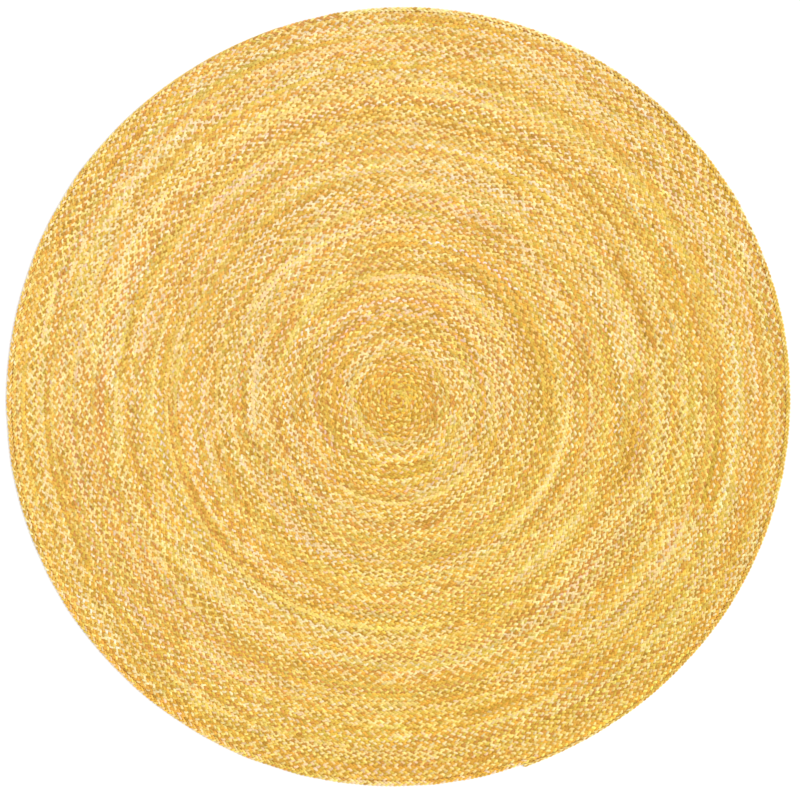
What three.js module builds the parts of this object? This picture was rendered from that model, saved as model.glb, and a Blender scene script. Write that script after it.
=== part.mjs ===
// Round braided chindi rug, lying flat. Millimetres, +Z up, underside on z = 0, origin at the middle of the footprint.
// Two three-strand plaits of cotton strips are coiled side by side, both outward clockwise as seen from above, and sewn
// edge to edge, so a full turn moves each plait outward by two pitches. The rug is one piece, and its solid has the
// outline of the two outermost turns, with the two thinned ends of the plaits on opposite sides of the rim.
// Angles are in degrees, counter-clockwise from +X.
import * as THREE from "three";

const DIAMETER = 1829; // overall, the common 6 ft round size
const THICKNESS = 9; // two strands cross in a plait, about 4.5 mm each
const PITCH = 10.7; // one plait's width, edge to edge
const RIM = 920; // edge radius of a full-width plait at its end
const EDGE_ROUND = 3.2; // height of the rounding at the top and bottom of the rim
const EDGE_DRAW = 2.6; // how far the rounding draws the rim in
const EDGE_STEPS = 3;
const STATIONS = 180; // round the rim, besides those at the two ends

// Where each plait ends: the share of its width left at the tip, and the stretch over which it thins to that.
const ENDS = [
  { name: "first_plait", angle: 289, tip: 0.6, taper: 45 },
  { name: "second_plait", angle: 108, tip: 0.2, taper: 45 },
];

// Slow waves in the outline, as the rug was pulled while it was coiled: waves round the rim, height, angle of a crest.
const WAVES = [
  { count: 1, height: 1.2, crest: -14.4 },
  { count: 2, height: 3.8, crest: 45.5 },
  { count: 3, height: 1.2, crest: -41.1 },
  { count: 4, height: 0.4, crest: -8.4 },
  { count: 5, height: 0.5, crest: -8.0 },
];

const rad = THREE.MathUtils.degToRad;
const ahead = (from, to) => THREE.MathUtils.euclideanModulo(to - from, 360);

// The edge of whichever plait lies outermost at an angle. From its end, going counter-clockwise, a plait runs back
// into the coil by two pitches a turn, until the other plait's end.
function plaitEdge(angle) {
  const [end] = ENDS.map((e) => ({ ...e, back: ahead(e.angle, angle) })).sort(
    (a, b) => a.back - b.back,
  );
  const full = THREE.MathUtils.smoothstep(end.back / end.taper, 0, 1);
  const width = PITCH * THREE.MathUtils.lerp(end.tip, 1, full);
  return RIM - (2 * PITCH * end.back) / 360 - PITCH + width;
}

const rimRadius = (angle) =>
  WAVES.reduce(
    (r, w) => r + w.height * Math.cos(rad(w.count * (angle - w.crest))),
    plaitEdge(angle),
  );

// Even stations, and three more close to each end, where the rim steps in.
const angles = Array.from(
  { length: STATIONS },
  (_, i) => (360 * i) / STATIONS,
).filter((a) => ENDS.every((e) => Math.abs(e.angle - a) > 1));
for (const e of ENDS)
  for (const offset of [-0.3, 0.1, 0.9]) angles.push(e.angle + offset);
angles.sort((a, b) => a - b);

const outline = angles.map((a) => {
  const r = rimRadius(a);
  return new THREE.Vector2(r * Math.cos(rad(a)), r * Math.sin(rad(a)));
});
const box = new THREE.Box2().setFromPoints(outline);
const centre = box.getCenter(new THREE.Vector2());
const across = box.getSize(new THREE.Vector2());
const fit = DIAMETER / Math.max(across.x, across.y);
outline.forEach((p) => p.sub(centre).multiplyScalar(fit));

const geometry = new THREE.ExtrudeGeometry(new THREE.Shape(outline), {
  depth: THICKNESS - 2 * EDGE_ROUND,
  steps: 1,
  curveSegments: 1,
  bevelEnabled: true,
  bevelThickness: EDGE_ROUND,
  bevelSize: EDGE_DRAW,
  bevelOffset: -EDGE_DRAW,
  bevelSegments: EDGE_STEPS,
});
geometry.translate(0, 0, EDGE_ROUND);

const cloth = new THREE.MeshStandardMaterial({
  name: "cotton_chindi_yellow",
  color: 0xe9bd58,
  roughness: 0.95,
  metalness: 0,
});
const rug = new THREE.Mesh(geometry, cloth);
rug.name = "braided_rug";

const group = new THREE.Group();
group.name = "round_braided_chindi_rug";
group.add(rug);

export default group;
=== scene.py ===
"""Round braided chindi rug, lying flat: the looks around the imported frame.

Two three-strand plaits of cotton strips coil side by side, outward clockwise as seen from above. Each of the six
strands is one piece: the lobes that it shows on top and underneath, and whole round cords where it makes the rim.
Between the two layers of lobes lies the bed, the pressed middle of the plaits, which closes the rug.
Lengths are in millimetres until they go into a mesh; angles are in degrees, counter-clockwise from +X.
"""

import math

import bpy
import numpy as np
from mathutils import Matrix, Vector


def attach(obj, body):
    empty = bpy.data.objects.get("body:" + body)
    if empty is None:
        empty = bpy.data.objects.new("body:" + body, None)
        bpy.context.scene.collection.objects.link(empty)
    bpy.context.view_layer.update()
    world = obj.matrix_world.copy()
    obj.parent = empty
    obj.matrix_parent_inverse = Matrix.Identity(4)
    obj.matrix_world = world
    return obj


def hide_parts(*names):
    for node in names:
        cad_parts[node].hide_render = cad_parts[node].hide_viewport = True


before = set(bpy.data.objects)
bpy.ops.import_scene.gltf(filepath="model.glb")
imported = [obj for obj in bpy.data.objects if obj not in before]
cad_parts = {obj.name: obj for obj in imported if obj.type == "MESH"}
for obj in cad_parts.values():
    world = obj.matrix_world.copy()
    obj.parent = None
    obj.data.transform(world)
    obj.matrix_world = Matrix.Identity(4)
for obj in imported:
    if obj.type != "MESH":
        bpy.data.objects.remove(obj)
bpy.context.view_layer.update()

MM = 0.001
NODE = "braided_rug"

# ---------------------------------------------------------------- sizes, as in the CAD model
DIAMETER = 1829.0
THICKNESS = 9.0
PITCH = 10.7  # width of one plait
TURN = 2 * PITCH  # a full turn moves a plait outward past both plaits
RIM = 920.0
ENDS = [  # where each plait ends, the share of its width left there, and the stretch over which it thins
    {"angle": 289.0, "tip": 0.6, "taper": 45.0},
    {"angle": 108.0, "tip": 0.2, "taper": 45.0},
]
RIM_WAVES = [(1, 1.2, -14.4), (2, 3.8, 45.5), (3, 1.2, -41.1), (4, 0.4, -8.4), (5, 0.5, -8.0)]

# ---------------------------------------------------------------- the plait
PERIOD = 30.3  # length of plait in which a strand comes back to the same side
SWING, SHARP = 3.3, 0.4  # how far a strand's centre swings to each side of its plait, and how much it hurries across
MIDDLE = 4.5
LIFT = 2.2  # how far a strand's centre rises and falls about the middle

COIL_CENTRE = (-0.23, -4.67)
# Waves in the rows, round the coil's centre: number of waves -> (radius, height, angle of a crest). They show where
# the rug was pulled as it was coiled; at the rim they turn into RIM_WAVES.
ROW_WAVES = {
    1: [(0, 2.1, -155), (175, 2.1, -155), (350, 0.9, 50), (525, 4.2, 75), (607, 6.1, 68), (672, 7.0, 75), (770, 9.1, 68), (840, 8.2, 73)],
    2: [(0, 0, 97), (187, 2.1, 97), (280, 3.0, 90), (380, 2.45, 75), (532, 3.5, 57), (653, 4.7, 62), (770, 3.85, 52), (868, 2.8, 42)],
    3: [(0, 0, 35), (117, 0.7, 35), (233, 0.7, 35), (408, 1.2, -8), (583, 2.1, -28), (719, 4.0, -31), (852, 2.8, -32)],
    4: [(0, 0, -20), (190, 0.9, -20), (340, 0.9, -20), (583, 0, -20)],
    5: [(0, 0, -26), (300, 0, -26), (485, 0.9, -26), (709, 1.9, -31), (817, 0.7, -31)],
    6: [(0, 0, 5), (200, 0, 5), (350, 0.7, 5), (500, 0, 5)],
}

# ---------------------------------------------------------------- the cloth strips
# Tones of the cotton: name -> sRGB colour, and how much of the rug is of it.
TONES = {
    "bronze": ("D1A342", 7),
    "terracotta": ("DEA454", 6),
    "orange": ("E7B34F", 14),
    "amber": ("EAC057", 16),
    "mustard": ("E3C45A", 7),
    "golden": ("ECD06D", 10),
    "honey": ("F6DB88", 9),
    "lemon": ("F9E48D", 5),
    "straw": ("FBE4A2", 11),
    "butter": ("FCE8AB", 8),
    "peach": ("FADDB0", 5),
    "cream": ("FDEBBA", 5),
    "ivory": ("FEEDC6", 1),
}
# Arcs where a row or two are lighter or darker than around them: radius, from angle, to angle, by how much.
ARCS = [
    (620, 213, 292, 5.0), (711, 250, 272, 3.5), (692, 288, 335, 4.5), (397, 305, 358, 5.0), (399, 226, 254, 2.5),
    (163, 298, 345, 5.0), (102, 120, 290, 5.0), (119, -5, 118, 3.0), (340, 150, 190, 4.5), (405, 100, 148, 4.5),
    (385, 136, 180, 3.0), (546, 5, 30, 5.0), (504, 60, 90, 4.0), (532, 55, 80, 3.0), (546, 98, 122, 3.0),
    (625, 117, 137, 5.0), (647, 20, 32, 4.0), (667, 2, 18, 3.5), (795, 338, 372, 5.0), (828, 45, 75, 3.5),
    (800, 125, 163, 3.5), (760, 150, 180, 3.0), (730, 308, 338, 4.5), (743, 228, 243, 4.0), (740, 48, 86, 3.0),
    (506, 300, 335, 4.5), (569, 302, 335, 2.5), (609, 335, 370, 3.5), (669, 335, 360, 3.0), (288, 30, 110, 2.5),
    (277, 240, 262, 3.5), (310, 213, 235, 3.5), (317, 280, 325, 2.5), (257, 140, 225, 2.5), (243, -15, 60, 2.5),
    (866, 205, 222, 3.0), (866, 85, 105, 2.5),
    (695, 233, 252, -5.0), (684, 252, 290, -4.0), (555, 335, 357, -4.0), (529, 310, 342, -3.0), (306, 85, 110, -5.5),
    (334, 90, 110, -5.0), (317, 142, 160, -4.0), (450, 75, 97, -4.0), (437, 5, 20, -4.5), (502, 5, 18, -3.5),
    (752, 340, 368, -5.0), (752, 110, 127, -3.5), (773, 125, 142, -3.5), (683, 30, 50, -3.5), (368, 187, 200, -4.0),
    (232, 235, 272, -4.5), (147, 135, 215, -3.0), (180, 60, 95, -2.5), (90, 30, 110, -3.0), (498, 245, 270, -3.5),
    (654, 214, 230, -3.0), (466, 150, 172, -3.0), (812, 165, 175, -3.5),
]


def smooth(t):
    t = np.clip(t, 0.0, 1.0)
    return t * t * (3 - 2 * t)


def linear(code):
    """A colour code such as E6AE38 as linear red, green and blue."""
    s = np.array([int(code[i : i + 2], 16) for i in (0, 2, 4)]) / 255
    return np.where(s <= 0.04045, s / 12.92, ((s + 0.055) / 1.055) ** 2.4)


# ---------------------------------------------------------------- the coil
def plait_edge(angle):
    """The CAD outline before it is centred and scaled."""
    back = [(angle - e["angle"]) % 360 for e in ENDS]
    i = int(np.argmin(back))
    width = PITCH * (ENDS[i]["tip"] + (1 - ENDS[i]["tip"]) * float(smooth(back[i] / ENDS[i]["taper"])))
    r = RIM - TURN * back[i] / 360 - PITCH + width
    return r + sum(h * math.cos(math.radians(n * (angle - c))) for n, h, c in RIM_WAVES)


_outline = np.array([[plait_edge(a) * math.cos(math.radians(a)), plait_edge(a) * math.sin(math.radians(a))] for a in np.arange(0, 360, 0.25)])
_low, _high = _outline.min(0), _outline.max(0)
FIT = DIAMETER / float((_high - _low).max())
_origin = -(_low + _high) / 2 * FIT - np.array(COIL_CENTRE)  # the CAD outline's own centre, from the coil's

RADII = np.arange(0, 961, 10.0)
WAVES = {}
for _n, _rows in ROW_WAVES.items():
    _r = [row[0] for row in _rows]
    _v = [row[1] * np.exp(-1j * math.radians(_n * row[2])) for row in _rows]
    _rim = sum(h * FIT * np.exp(-1j * math.radians(n * c)) for n, h, c in RIM_WAVES if n == _n)
    if _n == 1:
        _rim = _rim + _origin[0] - 1j * _origin[1]
    if _r[-1] < 800:
        _r, _v = _r + [780], _v + [_v[-1] * 0 + (0.5 * _rim)]
    _r, _v = _r + [RIM], _v + [_rim]
    WAVES[_n] = np.interp(RADII, _r, np.real(_v)) + 1j * np.interp(RADII, _r, np.imag(_v))


def place(radius, angle):
    """Where a point of the coil lies in the rug: x and y in millimetres, from its radius and angle in an even coil."""
    a = np.radians(angle)
    wave = np.zeros_like(radius)
    for n, v in WAVES.items():
        w = np.interp(radius, RADII, v.real) + 1j * np.interp(radius, RADII, v.imag)
        wave += (w * np.exp(1j * n * a)).real
    r = np.maximum(FIT * radius + wave, 0.0)
    inner = radius < 60  # close to the centre a shift of the coil is a plain shift
    x, y = COIL_CENTRE[0] + r * np.cos(a), COIL_CENTRE[1] + r * np.sin(a)
    shift = WAVES[1][0]
    x = np.where(inner, COIL_CENTRE[0] + shift.real + FIT * radius * np.cos(a), x)
    y = np.where(inner, COIL_CENTRE[1] - shift.imag + FIT * radius * np.sin(a), y)
    return x, y


REACH = RIM - PITCH / 2  # radius of a plait's centre line at its outer end
LENGTH = math.pi * REACH**2 / TURN  # length of one plait
rng = np.random.default_rng(20240)


def across(turn):
    """Sideways place of a strand's centre at a turn of its swing."""
    return SWING * np.sin(turn) - SHARP * np.sin(3 * turn)


def across_slope(turn):
    return SWING * np.cos(turn) - 3 * SHARP * np.cos(3 * turn)


class Noise:
    """Smooth random values along a plait, one knot every step millimetres."""

    def __init__(self, step, size):
        self.step = step
        self.v = rng.normal(0, size, int(LENGTH / step) + 8)

    def __call__(self, u):
        t = np.clip(u / self.step + 2, 0, len(self.v) - 2)
        i = np.floor(t).astype(int)
        f = smooth(t - i)
        return self.v[i] * (1 - f) + self.v[i + 1] * f


PLAITS = [
    {"end": e, "stretch": Noise(420, 3.0), "tug": Noise(34, 0.7), "sway": Noise(45, 0.3), "squeeze": Noise(60, 0.05)}
    for e in ENDS
]


def centre_line(plait, u):
    """Radius, angle back from the end, and share of the full width, at a length u back from a plait's end."""
    base = np.sqrt(TURN * np.maximum(LENGTH - u, 4.0) / math.pi)
    back = (REACH - base) * 360 / TURN
    e = plait["end"]
    width = e["tip"] + (1 - e["tip"]) * smooth(back / e["taper"])
    return base - PITCH * (1 - width) / 2, back, width


def strand_point(plait, u, x):
    """x and y of a point at length u and sideways x, outward being positive."""
    radius, back, width = centre_line(plait, u)
    side = (x * (1 + plait["squeeze"](u)) + plait["sway"](u)) * width
    return place(np.maximum(radius + side, 0.2), plait["end"]["angle"] + back)


def along(plait, turn, k):
    """Length at which strand k of a plait has turned so far, in radians."""
    u = PERIOD * (turn - 2 * math.pi * k / 3) / (2 * math.pi)
    return u + plait["stretch"](u) + plait["tug"](u)


# ---------------------------------------------------------------- colours along the strands
NAMES = list(TONES)
COLOURS = np.array([linear(TONES[n][0]) for n in NAMES])
SHARES = np.array([float(TONES[n][1]) for n in NAMES])
LIGHTNESS = 116 * np.cbrt(COLOURS @ np.array([0.2126, 0.7152, 0.0722])) - 16


STEP = 20.0  # the aims below are worked out this far apart along a plait


def aims(plait):
    """How light the plait is meant to be along its length, as the mean lightness of its strands, and its arcs' share."""
    u = np.arange(0.0, LENGTH + 2500, STEP)
    radius, back, _ = centre_line(plait, u)
    x, y = place(radius, plait["end"]["angle"] + back)
    x, y = x - COIL_CENTRE[0], y - COIL_CENTRE[1]
    r, a = np.hypot(x, y), np.degrees(np.arctan2(y, x))
    arcs = np.zeros_like(r)
    for at, start, stop, size in ARCS:
        off = np.abs((a - (start + stop) / 2 + 180) % 360 - 180)
        arcs += 1.25 * size * np.exp(-(((r - at) / 10) ** 2)) * (off < (stop - start) / 2)
    v = 83.7 + arcs
    v -= 5.0 * smooth((r - 24) / 8) * smooth((110 - r) / 20) + 1.5 * np.exp(-(((r - 125) / 20) ** 2))
    v -= 1.2 * np.exp(-(((r - 185) / 50) ** 2))
    v += 0.5 * smooth((r - 200) / 200) * np.cos(np.radians(a - 105))
    # the strips are chosen darker towards the rim: painted shade of the rim
    v -= 1.8 * smooth((r - 850) / 50)
    return v, arcs


def strips(plait):
    """For each strand of a plait, where each strip of cloth starts and its tone.

    The maker joins a new strip that goes with the two beside it, so light and dark stay mixed along a row."""
    goal, arcs = aims(plait)
    made = [([], [], []) for _ in range(3)]
    now = [int(rng.choice(len(NAMES), p=SHARES / SHARES.sum())) for _ in range(3)]
    reach = [-100.0, -100.0, -100.0]
    while min(reach) < LENGTH + 200:
        k = int(np.argmin(reach))
        u = reach[k]
        at = int(max(u, 0.0) / STEP) + 1
        beside = [LIGHTNESS[now[j]] for j in range(3) if j != k]
        inner = u > LENGTH - 1400  # the first turns of the coil
        loose = 1.2 if abs(arcs[at]) > 1.2 else 3.6
        share = SHARES * np.exp(-0.5 * (((LIGHTNESS + sum(beside)) / 3 - goal[at]) / loose) ** 2)
        share *= np.exp((0.03 if abs(arcs[at]) > 1.2 else 0.06) * (np.maximum(LIGHTNESS, max(beside)) - np.minimum(LIGHTNESS, min(beside))))
        if inner:  # there one strand is light and two are deep
            share = SHARES * ((LIGHTNESS > 85) == (k == 0)) * (np.abs(LIGHTNESS - 80) < 12)
            if u < LENGTH - 130:
                share *= np.array([0.2 if n in ("mustard", "golden", "lemon") else 1.0 for n in NAMES])
        share[now[k]] *= 0.4
        share /= share.sum()
        now[k] = int(rng.choice(len(NAMES), p=share))
        made[k][0].append(u)
        made[k][1].append(now[k])
        made[k][2].append(int(rng.choice(len(NAMES), p=share)))
        length = float(np.clip(rng.lognormal(math.log(400), 0.6), 80, 1800))
        if inner:
            length = min(length, 200.0)
        # a strip gives way where an arc starts or ends
        change = np.nonzero(np.abs(goal[at : at + int(length / STEP)] - goal[at]) > 1.3)[0]
        if len(change):
            length = max(change[0] * STEP + rng.normal(0, 12), 40.0)
        reach[k] = u + length
    out = []
    for starts, tones, mixes in made:
        out.append((np.array(starts), np.array(tones), np.array(mixes), rng.normal(0, 1, (len(starts), 3)), rng.random(len(starts))))
    return out


for _p in PLAITS:
    _p["strips"] = strips(_p)


def lobe_colour(plait, k, u):
    """Linear colour of each lobe of strand k, from the strip that it is made of."""
    starts, tones, mixes, shift, mottle = plait["strips"][k]
    i = np.searchsorted(starts, u, side="right") - 1
    n = len(u)
    tone, other = tones[i], mixes[i]
    radius, back, _ = centre_line(plait, u)
    # a printed or faded strip shows its other tone in some of its lobes
    turned = rng.random(n) < 0.05 + 0.25 * mottle[i]
    tone = np.where(turned, other, tone)
    c = COLOURS[tone]
    value = 0.968 + 0.045 * shift[i, 0] + rng.normal(0, 0.07, n)
    warm = 0.02 * shift[i, 1] + rng.normal(0, 0.015, n)
    rich = 1 + 0.08 * shift[i, 2] + rng.normal(0, 0.06, n)
    out = c * value[:, None]
    out[:, 1] *= 1 + warm
    # the cloth is deeper in colour at the centre and towards the lower right, and paler at the upper left
    a = np.radians(plait["end"]["angle"] + back - 125)
    pale = 1 + 0.11 * np.cos(a) * smooth(radius / 350) - 0.18 * smooth((130 - radius) / 90)
    out[:, 2] *= rich * pale
    return np.clip(out, 0.01, 1.0)


# ---------------------------------------------------------------- meshes
def add_mesh(name, verts, loops, counts, colours, strand_uv, bake_uv, material):
    """A smooth mesh from arrays. verts in millimetres; loops is the flat list of corners; counts gives corners a face."""
    mesh = bpy.data.meshes.new(name)
    mesh.vertices.add(len(verts))
    mesh.vertices.foreach_set("co", (verts * MM).astype(np.float32).ravel())
    mesh.loops.add(len(loops))
    mesh.loops.foreach_set("vertex_index", loops.astype(np.int32))
    mesh.polygons.add(len(counts))
    mesh.polygons.foreach_set("loop_start", np.concatenate([[0], np.cumsum(counts)[:-1]]).astype(np.int32))
    mesh.polygons.foreach_set("material_index", np.zeros(len(counts), np.int32))
    mesh.update(calc_edges=True)
    mesh.polygons.foreach_set("use_smooth", np.ones(len(counts), bool))
    tone = mesh.color_attributes.new("tone", "FLOAT_COLOR", "POINT")
    tone.data.foreach_set("color", np.column_stack([colours, np.ones(len(colours))]).astype(np.float32).ravel())
    uv = mesh.uv_layers.new(name="strand")
    uv.data.foreach_set("uv", strand_uv[loops].astype(np.float32).ravel())
    if bake_uv is not None:
        uv = mesh.uv_layers.new(name="OFBake")
        uv.data.foreach_set("uv", bake_uv.astype(np.float32).ravel())
    mesh.validate()
    mesh.update()
    obj = bpy.data.objects.new(name, mesh)
    bpy.context.scene.collection.objects.link(obj)
    mesh.materials.append(material)
    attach(obj, "root")
    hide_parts(NODE)
    return obj


# A lobe is a leaf: three points across at each station, or one where half is 0, and it runs down under its neighbours.
# turn: degrees of the strand's swing; half: half width; crest, edge: heights; in millimetres.
TOP = {"turn": [34, 72, 108, 150, 200], "half": [0, 2.6, 3.3, 3.35, 2.8], "crest": [2.4, 6.2, 8.5, 8.75, 5.2], "edge": [2.4, 3.2, 3.7, 3.9, 2.8]}
UNDER = {"turn": [-32, 45, 122], "half": [0, 2.95, 0], "crest": [4.0, 0.12, 4.0], "edge": [4.0, 3.2, 4.0]}


BED = (3.1, 3.9)  # the two faces of the bed
SQUARE = 0.55  # how far a lobe's width lies square to its strand; the rest lies straight across the plait


def leaf_points(form):
    """For each point of a leaf, its station and its side: 1 outward, 0 the crest, -1 inward."""
    return [(i, side) for i, half in enumerate(form["half"]) for side in ((0,) if half == 0 else (1, 0, -1))]


def leaf_faces(form):
    """Corners of a leaf's triangles, wound to face up."""
    tris, start = [], 0
    wide = [half > 0 for half in form["half"]]
    for i in range(len(wide) - 1):
        a, b = start, start + (3 if wide[i] else 1)
        if wide[i] and wide[i + 1]:
            for j in (0, 1):
                tris += [(a + j, a + j + 1, b + j + 1), (a + j, b + j + 1, b + j)]
        elif wide[i + 1]:
            tris += [(a, b + 1, b), (a, b + 2, b + 1)]
        else:
            tris += [(a, a + 1, b), (a + 1, a + 2, b)]
        start = b
    return np.array(tris)


def leaves(plait, k, turns, form, first_cell, grid):
    """Leaves of strand k at the given half turns: points, triangles, colours, strand and bake coordinates."""
    n = len(turns)
    up = form is TOP
    station = np.array([p[0] for p in leaf_points(form)])
    side = np.array([float(p[1]) for p in leaf_points(form)])
    mid = len(form["turn"]) // 2
    jitter = rng.normal(0, 1, (n, 7))
    turn = math.pi * turns[:, None] + np.radians(np.array(form["turn"], float))[None, :]
    turn += np.radians(6.0) * jitter[:, 0:1]
    u = along(plait, turn, k)
    sideways = across(turn) + 0.3 * jitter[:, 5:6]
    slope_u, slope_x = np.full_like(turn, PERIOD / (2 * math.pi)), across_slope(turn)
    size = np.hypot(slope_u, slope_x)
    nu, nx = -slope_x / size, slope_u / size
    nu, nx = SQUARE * nu, SQUARE * nx + (1 - SQUARE)
    wide = np.array(form["half"])[None, :] * (1 + 0.09 * np.clip(jitter[:, 1:2], -2, 2))
    crest = np.tile(np.array(form["crest"], float), (n, 1))
    edge = np.tile(np.array(form["edge"], float), (n, 1))
    lift = 0.28 * jitter[:, 3:4]
    body = slice(1, 4) if up else slice(1, 2)
    if up:
        crest[:, body] = np.minimum(crest[:, body] + lift, THICKNESS + 0.2)
        edge[:, body] += 0.5 * lift
    else:
        crest[:, body] = np.maximum(crest[:, body] + 0.5 * np.abs(lift), 0.05)
    _, _, share = centre_line(plait, u[:, mid])
    thin = 0.45 + 0.55 * share[:, None]
    crest, edge = crest * thin, edge * thin
    lean = 0.4 * jitter[:, 4:5]  # the crest of a folded strip lies off its middle

    off = np.where(side == 0, lean, side[None, :] * wide[:, station])
    off = np.where(np.array(form["half"])[station][None, :] == 0, 0.0, off)
    pu = u[:, station] + nu[:, station] * off
    px = sideways[:, station] + nx[:, station] * off
    pz = np.where(side[None, :] == 0, crest[:, station], edge[:, station])
    x, y = strand_point(plait, pu, px)
    verts = np.stack([x, y, pz], -1).reshape(-1, 3)
    per = len(station)
    tris = leaf_faces(form)
    if not up:
        tris = tris[:, ::-1]
    faces = (tris[None] + (np.arange(n) * per)[:, None, None]).reshape(-1, 3)

    centre = lobe_colour(plait, k, u[:, mid])
    tint = 1 + rng.normal(0, 0.04, (n, per))
    # painted shade: the tucked edges and ends, where a lobe runs down under its neighbours, are darker and deeper in
    # colour, and the crest is a little lighter
    painted_shade = np.where(np.abs(side) > 0, 0.5, 0.0) + np.where((station == 0) | (station == len(form["turn"]) - 1), 0.5, 0.0)
    painted_shade = np.array([1.05, 1.05, 1.05])[None, :] - painted_shade[:, None] * np.array([0.13, 0.18, 0.28])[None, :]
    colours = (centre[:, None, :] * tint[:, :, None] * painted_shade[None]).reshape(-1, 3)
    strand_uv = np.stack([pu * MM, np.broadcast_to(side * 0.5 + 0.5, pu.shape)], -1).reshape(-1, 2)

    # each leaf has its own cell in the bake map
    cell = first_cell + np.arange(n)
    span = np.array(form["turn"], float)
    lu = ((span - span[0]) / (span[-1] - span[0]))[station]
    lv = 0.5 + 0.5 * side
    bu = ((cell % grid)[:, None] + 0.08 + 0.84 * lu[None, :]) / grid
    bv = ((cell // grid)[:, None] + 0.08 + 0.84 * lv[None, :]) / grid
    bake = np.stack([bu, bv], -1).reshape(-1, 2)
    return verts, faces, np.clip(colours, 0.01, 1), strand_uv, bake


SIDES = 6


def cords(plait, k, first, last, grid_start, grid):
    """Strand k as a whole closed cord where its plait makes the rim, from one turn of its swing to another."""
    steps = np.arange(first, last, math.pi / 5)
    n = len(steps)
    u = along(plait, steps, k)
    sideways = across(steps)
    sideways = np.where(sideways > 0, 1.2, 1.0) * sideways
    height = MIDDLE - LIFT * np.sin(2 * steps)
    slope_u, slope_x = np.full(n, PERIOD / (2 * math.pi)), across_slope(steps)
    size = np.sqrt(slope_u**2 + slope_x**2)
    nu, nx = -slope_x / size, slope_u / size
    _, _, share = centre_line(plait, u)
    thin = 0.45 + 0.55 * share
    ring = np.arange(SIDES) * 2 * math.pi / SIDES + math.pi / 6
    wob = 1 + rng.normal(0, 0.05, n)
    half_w, half_h = 2.4 * wob, 2.25 / wob
    pu = u[:, None] + nu[:, None] * np.cos(ring)[None] * half_w[:, None]
    px = sideways[:, None] + nx[:, None] * np.cos(ring)[None] * half_w[:, None]
    pz = (height[:, None] + np.sin(ring)[None] * half_h[:, None] * 1.08) * thin[:, None]
    x, y = strand_point(plait, pu, px)
    pz = np.clip(pz, 0.0, THICKNESS + 0.2)
    verts = np.stack([x, y, pz], -1).reshape(-1, 3)
    quads = []
    for j in range(SIDES):
        a = np.arange(n - 1) * SIDES + j
        b = np.arange(n - 1) * SIDES + (j + 1) % SIDES
        quads.append(np.stack([a, b, b + SIDES, a + SIDES], -1))
    quads = np.concatenate(quads)
    colours = lobe_colour(plait, k, u)
    # a lobe keeps its tone, so a cord changes tone only where it dives under
    lobe = np.floor((steps - math.radians(20)) / math.pi).astype(int)
    _, at = np.unique(lobe, return_index=True)
    pick = np.searchsorted(lobe[at], lobe)
    colours = colours[at][pick]
    # painted shade: the cord is darker and deeper in colour down its sides and underneath, and a little lighter on top
    painted_shade = np.array([1.04, 1.04, 1.04])[None, :] - smooth((0.6 - np.sin(ring)) / 1.6)[:, None] * np.array([0.35, 0.5, 0.65])[None, :]
    colours = (colours[:, None, :] * painted_shade[None]).reshape(-1, 3) * (1 + rng.normal(0, 0.03, (n * SIDES, 1)))
    strand_uv = np.stack([pu * MM, np.broadcast_to(np.arange(SIDES) / SIDES, (n, SIDES))], -1).reshape(-1, 2)
    return verts, quads, np.clip(colours, 0.01, 1), strand_uv


def build_strand(index, material):
    plait, k = PLAITS[index // 3], index % 3
    verts, loops, counts, colours, suv, buv = [], [], [], [], [], []
    # the half turns whose lobes lie on the coil; the plait's outer half turn of the coil makes the rim, in cords
    rim_back = 182.0
    rim_u = float(LENGTH - math.pi * (REACH - TURN * rim_back / 360) ** 2 / TURN)
    whole = 2 * math.pi / PERIOD
    first = math.ceil((rim_u * whole + 2 * math.pi * k / 3) / math.pi)
    last = math.floor(((LENGTH - 6) * whole + 2 * math.pi * k / 3) / math.pi)
    turns = np.arange(first, last, dtype=float)
    total = 2 * len(turns)
    grid = int(math.ceil(math.sqrt(total * 1.06)))
    base = 0
    cell = 0
    for form in (TOP, UNDER):
        v, f, c, s, b = leaves(plait, k, turns, form, cell, grid)
        cell += len(turns)
        verts.append(v)
        loops.append((f + base).ravel())
        counts.append(np.full(len(f), 3))
        colours.append(c)
        suv.append(s)
        buv.append(b[f.ravel()])
        base += len(v)
    start = 0.3 + 2 * math.pi * k / 3
    v, f, c, s = cords(plait, k, start, math.pi * first + math.radians(60), cell, grid)
    verts.append(v)
    ends = np.concatenate([np.arange(SIDES)[::-1], len(v) - SIDES + np.arange(SIDES)])
    loops.append(np.concatenate([f.ravel(), ends]) + base)
    counts.append(np.concatenate([np.full(len(f), 4), [SIDES, SIDES]]))
    colours.append(c)
    suv.append(s)
    # the cords' bake map: rows of quads in the band above the leaves' cells
    floor_v = (cell // grid + 1) / grid
    n = len(v) // SIDES
    band = max(1.0 - floor_v, 0.01)
    across = int(math.ceil(math.sqrt((n - 1) * SIDES / band)))
    q = np.arange(len(f))
    step = 1 / across
    qu, qv = (q % across) * step, floor_v + (q // across) * step * 0.98
    corner = np.array([[0.06, 0.06], [0.06, 0.94], [0.94, 0.94], [0.94, 0.06]]) * step
    cuv = np.stack([qu, qv], -1)[:, None, :] + corner[None]
    buv.append(np.concatenate([cuv.reshape(-1, 2), np.full((2 * SIDES, 2), 0.999)]))
    return add_mesh(
        f"strand_{index + 1}",
        np.concatenate(verts),
        np.concatenate(loops),
        np.concatenate(counts),
        np.concatenate(colours),
        np.concatenate(suv),
        np.clip(np.concatenate(buv), 0, 1),
        material,
    )


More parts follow.
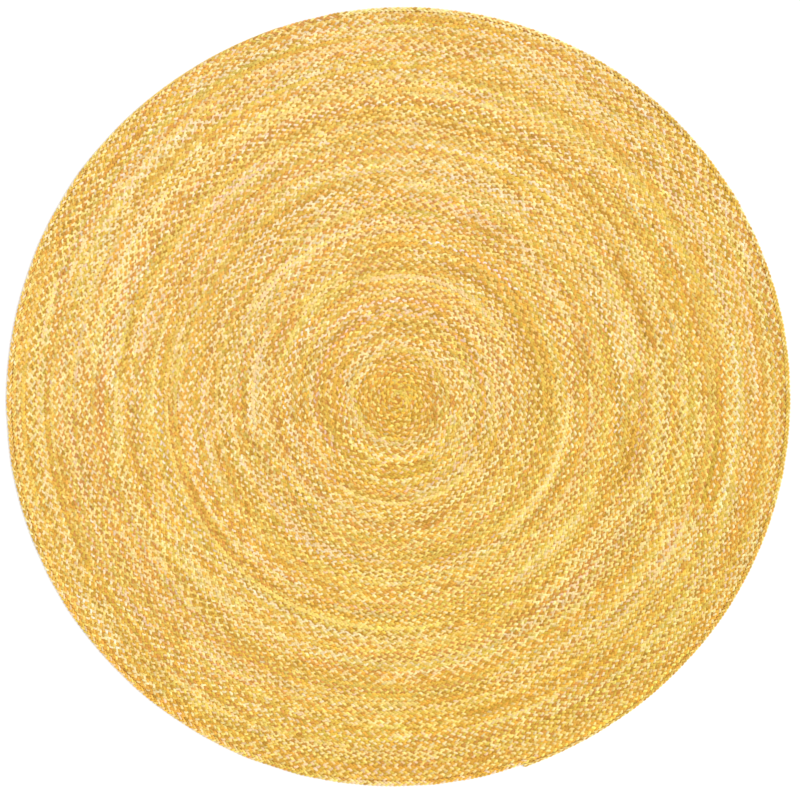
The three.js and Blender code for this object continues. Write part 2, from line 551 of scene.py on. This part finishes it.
def build_bed(material):
    """The pressed middle of the plaits: a closed flat disc under the lobes, drawn in from the rim."""
    segments, rings = 180, 34
    angle = np.arange(segments) * 360 / segments
    edge = np.array([plait_edge(a) - sum(h * math.cos(math.radians(n * (a - c))) for n, h, c in RIM_WAVES) for a in angle]) - 3.6
    verts, suv = [], []
    shares = np.linspace(0, 1, rings + 1)[1:] ** 0.8
    for top in (True, False):
        for s in shares:
            x, y = place(edge * s, angle)
            z = np.full(segments, BED[1] if top else BED[0])
            verts.append(np.stack([x, y, z], -1))
            suv.append(np.stack([x * MM, y * MM], -1))
    x, y = place(np.array([0.0]), np.array([0.0]))
    verts += [np.array([[x[0], y[0], BED[1]]]), np.array([[x[0], y[0], BED[0]]])]
    suv += [np.zeros((1, 2))] * 2
    verts, suv = np.concatenate(verts), np.concatenate(suv)
    loops, counts = [], []
    i = np.arange(segments)
    j = (i + 1) % segments
    for r in range(rings - 1):
        a, b = r * segments, (r + 1) * segments
        loops.append(np.stack([a + i, b + i, b + j, a + j], -1).ravel())
        a, b = (rings + r) * segments, (rings + r + 1) * segments
        loops.append(np.stack([a + i, a + j, b + j, b + i], -1).ravel())
        counts += [4] * (2 * segments)
    a, b = (rings - 1) * segments, (2 * rings - 1) * segments
    loops.append(np.stack([a + i, b + i, b + j, a + j], -1).ravel())
    counts += [4] * segments
    centre = 2 * rings * segments
    loops.append(np.stack([np.full(segments, centre), i, j], -1).ravel())
    loops.append(np.stack([np.full(segments, centre + 1), rings * segments + j, rings * segments + i], -1).ravel())
    counts += [3] * (2 * segments)
    # the bed is darker and deeper in colour than the cloth over it: painted shade in the gaps between the lobes
    colour = np.tile(linear("C48A38"), (len(verts), 1))
    return add_mesh("plait_bed", verts, np.concatenate(loops), np.array(counts), colour, suv, None, material)


# ---------------------------------------------------------------- material
def cotton(name, strength=1.0):
    """Soft cotton strips: each lobe's own tone, cloudy fading, threads and folds along the strand with painted shade
    in their creases, a soft sheen.
    """
    m = bpy.data.materials.new(name)
    m.use_nodes = True
    nodes, links = m.node_tree.nodes, m.node_tree.links
    shader = nodes["Principled BSDF"]

    def node(kind, **values):
        made = nodes.new(kind)
        for key, value in values.items():
            if key in made.inputs:
                made.inputs[key].default_value = value
            else:
                setattr(made, key, value)
        return made

    tone = node("ShaderNodeAttribute", attribute_name="tone")
    strand = node("ShaderNodeUVMap", uv_map="strand")
    place_ = node("ShaderNodeTexCoord")
    # folds: long streaks that run along the strand
    stretch = node("ShaderNodeMapping")
    stretch.inputs["Scale"].default_value = (90, 3.0, 1)
    links.new(strand.outputs["UV"], stretch.inputs["Vector"])
    folds = node("ShaderNodeTexNoise", Scale=1.6, Detail=3.0, Roughness=0.6)
    links.new(stretch.outputs["Vector"], folds.inputs["Vector"])
    # cloudy tone inside a strip, about three millimetres across
    cloud = node("ShaderNodeTexNoise", Scale=330.0, Detail=2.0, Roughness=0.55)
    links.new(place_.outputs["Object"], cloud.inputs["Vector"])
    # threads of the cloth, about half a millimetre
    thread = node("ShaderNodeTexNoise", Scale=1700.0, Detail=3.0, Roughness=0.65)
    links.new(place_.outputs["Object"], thread.inputs["Vector"])

    # the cloudy tone varies at random; where the folds and threads dip, which are also the low parts of the bump, the
    # colour is darker and deeper: painted crease shade
    total = None
    for source, weight in ((cloud, 0.40), (folds, 0.35), (thread, 0.25)):
        part = node("ShaderNodeMath", operation="MULTIPLY_ADD")
        links.new(source.outputs["Fac"], part.inputs[0])
        part.inputs[1].default_value = weight
        if total is None:
            part.inputs[2].default_value = 0.0
        else:
            links.new(total.outputs["Value"], part.inputs[2])
        total = part
    shade = node("ShaderNodeMapRange")
    shade.inputs["From Min"].default_value, shade.inputs["From Max"].default_value = 0.38, 0.62
    links.new(total.outputs["Value"], shade.inputs["Value"])
    cloud_and_crease_shade = node("ShaderNodeMix", data_type="RGBA")
    cloud_and_crease_shade.inputs[6].default_value = (0.87, 0.83, 0.74, 1)
    cloud_and_crease_shade.inputs[7].default_value = (1.10, 1.10, 1.10, 1)
    links.new(shade.outputs["Result"], cloud_and_crease_shade.inputs[0])
    tint = node("ShaderNodeVectorMath", operation="MULTIPLY")
    links.new(tone.outputs["Color"], tint.inputs[0])
    links.new(cloud_and_crease_shade.outputs[2], tint.inputs[1])
    links.new(tint.outputs["Vector"], shader.inputs["Base Color"])

    height = node("ShaderNodeMath", operation="MULTIPLY_ADD")
    links.new(thread.outputs["Fac"], height.inputs[0])
    height.inputs[1].default_value = 0.5
    links.new(folds.outputs["Fac"], height.inputs[2])
    bump = node("ShaderNodeBump", Strength=0.9, Distance=0.0013)
    links.new(height.outputs["Value"], bump.inputs["Height"])
    links.new(bump.outputs["Normal"], shader.inputs["Normal"])

    shader.inputs["Roughness"].default_value = 0.95
    shader.inputs["Specular IOR Level"].default_value = 0.2
    shader.inputs["Sheen Weight"].default_value = 0.12
    shader.inputs["Sheen Roughness"].default_value = 0.6
    shader.inputs["Sheen Tint"].default_value = (1.0, 0.93, 0.75, 1.0)
    return m


cloth = cotton("cotton_chindi")
bed = build_bed(cloth)
strands = [build_strand(i, cloth) for i in range(6)]

# ---------------------------------------------------------------- floor, light and camera
def plain(name, colour, rough):
    m = bpy.data.materials.new(name)
    m.use_nodes = True
    shader = m.node_tree.nodes["Principled BSDF"]
    shader.inputs["Base Color"].default_value = (*colour, 1)
    shader.inputs["Roughness"].default_value = rough
    shader.inputs["Specular IOR Level"].default_value = 0.0
    return m


floor_mesh = bpy.data.meshes.new("studio_floor")
floor_mesh.from_pydata([(-30, -30, 0), (30, -30, 0), (30, 30, 0), (-30, 30, 0)], [], [(0, 1, 2, 3)])
floor = bpy.data.objects.new("studio_floor", floor_mesh)
floor.location.z = -0.0002
floor_mesh.materials.append(plain("pale_floor", (0.93, 0.93, 0.93), 1.0))
bpy.context.scene.collection.objects.link(floor)

world = bpy.data.worlds.new("studio")
bpy.context.scene.world = world
world.use_nodes = True
world.node_tree.nodes["Background"].inputs["Color"].default_value = (1, 1, 1, 1)
world.node_tree.nodes["Background"].inputs["Strength"].default_value = 1.0

sun = bpy.data.lights.new("soft_key", "SUN")
sun.energy = 1.3
sun.angle = math.radians(35)
key = bpy.data.objects.new("soft_key", sun)
key.rotation_euler = Vector((-0.8, -0.1, -1.0)).to_track_quat("-Z", "Y").to_euler()
bpy.context.scene.collection.objects.link(key)

lens = bpy.data.cameras.new("camera")
lens.lens = 85
lens.sensor_width = 36
FIELD = 1.8662  # width of the picture on the rug, in metres
camera = bpy.data.objects.new("camera", lens)
camera.location = (0.0035, 0.0, FIELD * lens.lens / lens.sensor_width + 0.009)
lens.clip_end = 100
bpy.context.scene.collection.objects.link(camera)
bpy.context.scene.camera = camera

scene = bpy.context.scene
scene.view_settings.view_transform = "Standard"
scene.view_settings.look = "None"
scene.view_settings.exposure = 0.0
scene.view_settings.gamma = 1.0

bpy.context.view_layer.update()
print("triangles", {o.name: sum(len(p.vertices) - 2 for p in o.data.polygons) for o in [bed] + strands})
